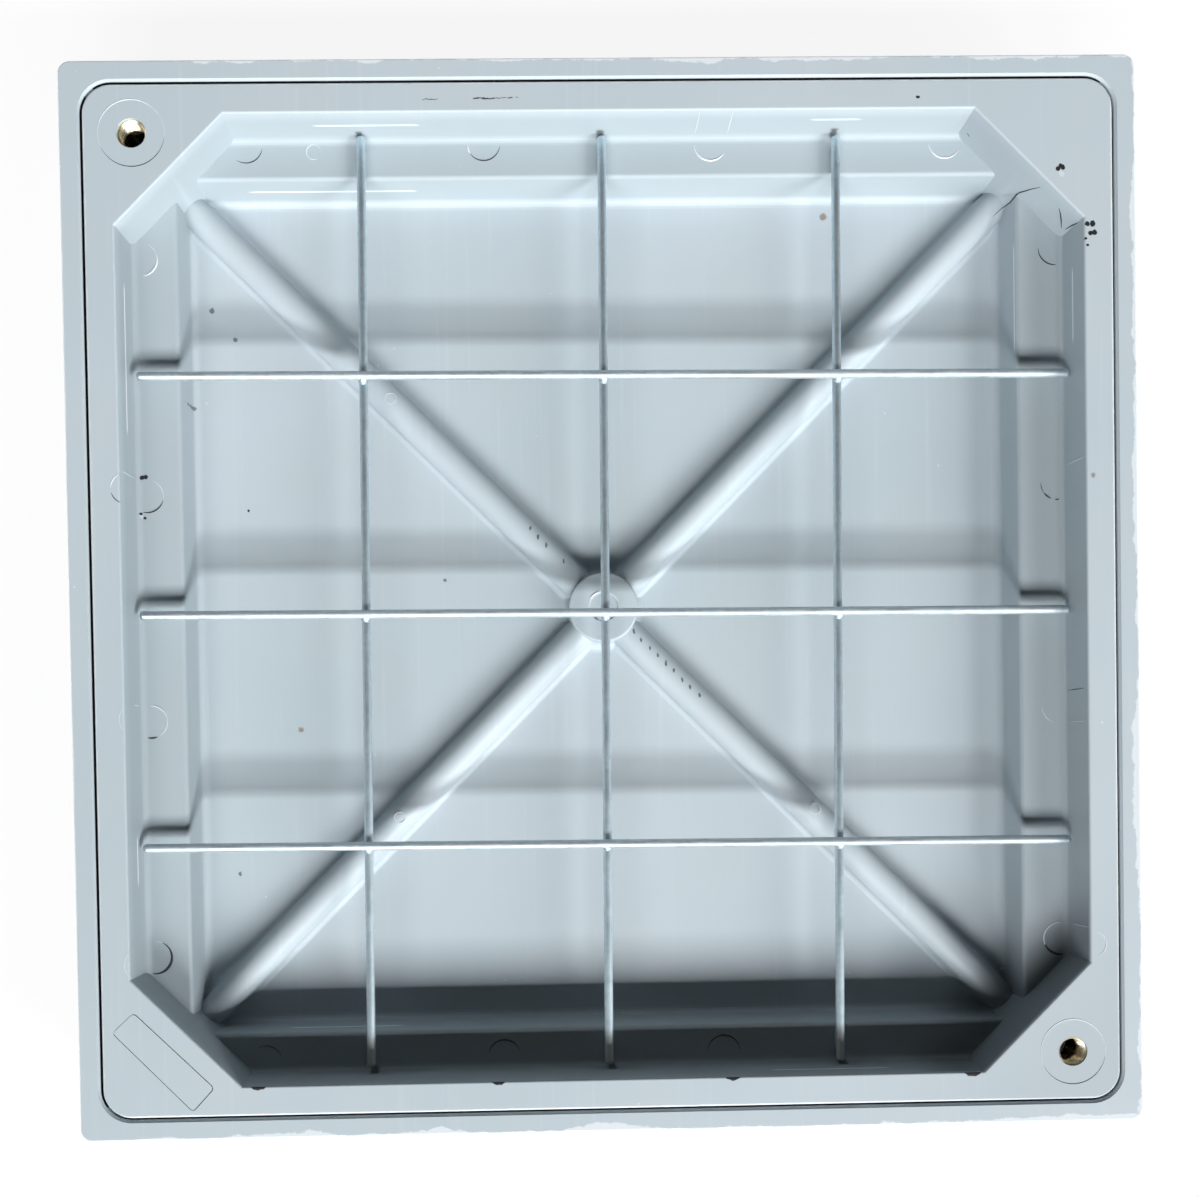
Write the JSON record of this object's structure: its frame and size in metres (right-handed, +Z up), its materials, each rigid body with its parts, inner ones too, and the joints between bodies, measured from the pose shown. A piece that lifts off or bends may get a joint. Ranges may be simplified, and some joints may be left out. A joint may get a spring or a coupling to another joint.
{
  "type": "recessed manhole cover",
  "caption": "Square recessed cover tray in a moulded frame, with a stepped chamfered recess, diagonal floor ribs, a welded bar grid and threaded lifting bushes.",
  "frame": {"origin": "centre of the frame's base", "axes": "+Z up out of the recess; +Y towards the edge at the top of the picture; +X to the right"},
  "size_m": [0.6, 0.6, 0.07],
  "materials": {
    "frame_moulding": "satin moulded composite, worn pale at the edges",
    "cover_moulding": "satin moulded composite, dusty and scratched",
    "brass": "dull turned brass",
    "zinc_steel": "galvanised drawn wire"
  },
  "bodies": {
    "root": {"frame": "frame_moulding", "cover_tray": "cover_moulding", "lifting_insert_a": "brass", "lifting_insert_b": "brass", "long_bar_1": "zinc_steel", "long_bar_2": "zinc_steel", "long_bar_3": "zinc_steel", "cross_bar_1": "zinc_steel", "cross_bar_2": "zinc_steel", "cross_bar_3": "zinc_steel"}
  },
  "joints": []
}
